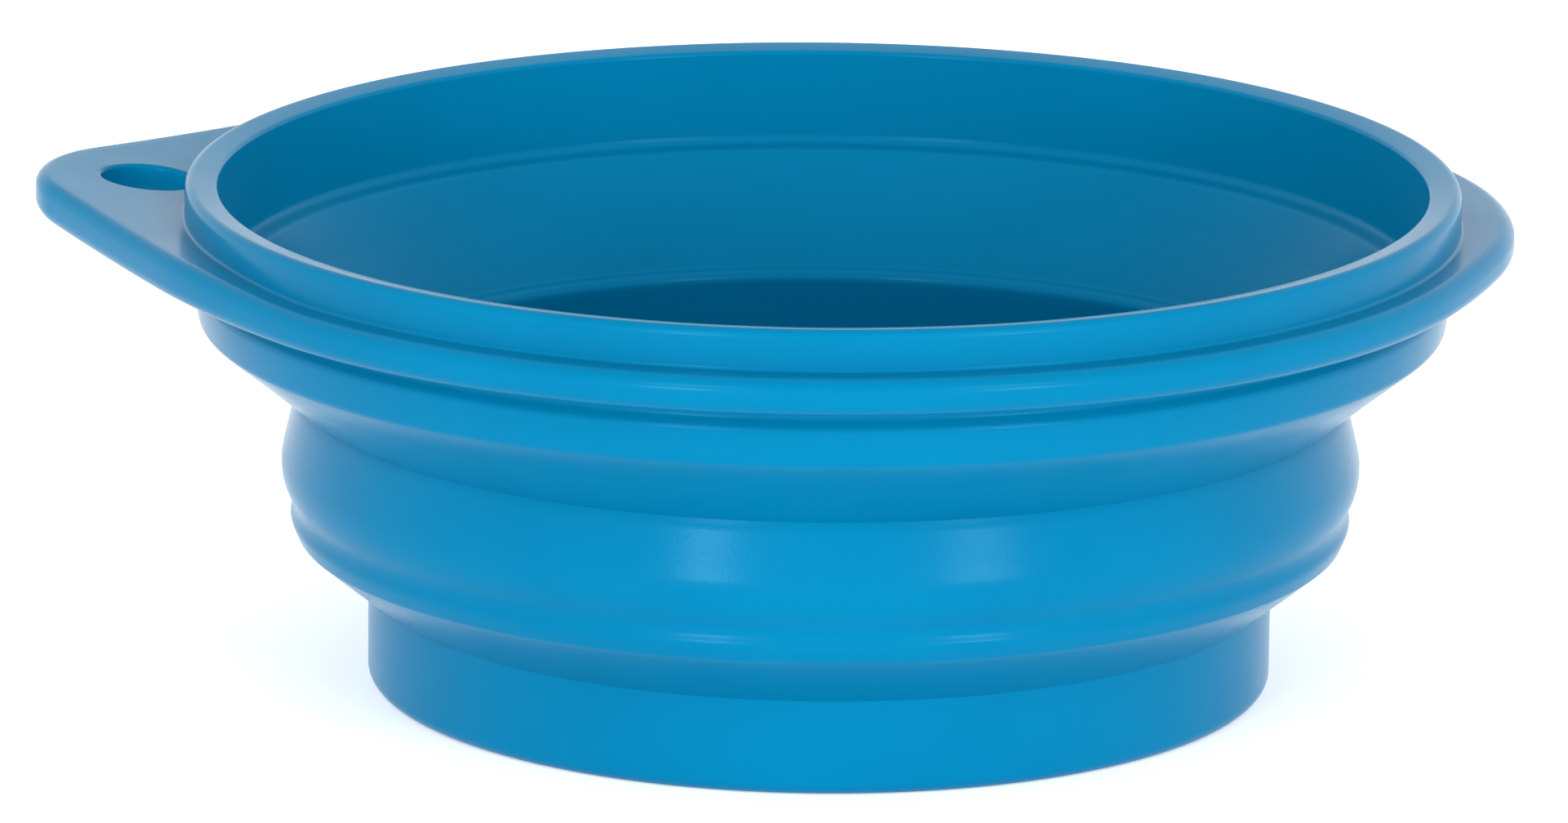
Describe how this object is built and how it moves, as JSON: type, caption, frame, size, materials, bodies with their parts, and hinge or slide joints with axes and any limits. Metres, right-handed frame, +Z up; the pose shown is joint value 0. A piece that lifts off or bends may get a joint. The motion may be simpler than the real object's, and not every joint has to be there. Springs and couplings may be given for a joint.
{
  "type": "collapsible bowl",
  "caption": "Round folding travel bowl in soft silicone: stepped walls that push flat, an upstanding rim on a flange, a hang tab with a clip hole and a shallow pull lip on the far side.",
  "frame": {"origin": "centre of the flat underside of the base, on the bowl's axis", "axes": "+Z up out of the bowl's mouth, -X along the hang tab"},
  "size_m": [0.148, 0.1336, 0.0511],
  "materials": {
    "silicone_base": "satin moulded silicone, sky blue",
    "silicone_folds": "satin moulded silicone, sky blue, thin",
    "silicone_middle": "satin moulded silicone, sky blue",
    "silicone_rim": "satin moulded silicone, sky blue"
  },
  "bodies": {
    "base": {"base_floor": "silicone_base", "base_wall": "silicone_base", "lower_fold": "silicone_folds"},
    "middle_tier": {"middle_wall": "silicone_middle", "upper_fold": "silicone_folds"},
    "rim_tier": {"upper_wall": "silicone_rim", "rim_flange": "silicone_rim", "rim_collar": "silicone_rim", "hang_tab": "silicone_rim", "pull_lip": "silicone_rim"}
  },
  "joints": [
    {"name": "lower_collapse", "type": "slide", "parent": "base", "child": "middle_tier", "axis": [0, 0, -1], "range_m": [0, 0.013], "deforming": ["lower_fold"]},
    {"name": "upper_collapse", "type": "slide", "parent": "middle_tier", "child": "rim_tier", "axis": [0, 0, -1], "range_m": [0, 0.018], "deforming": ["upper_fold"]}
  ]
}
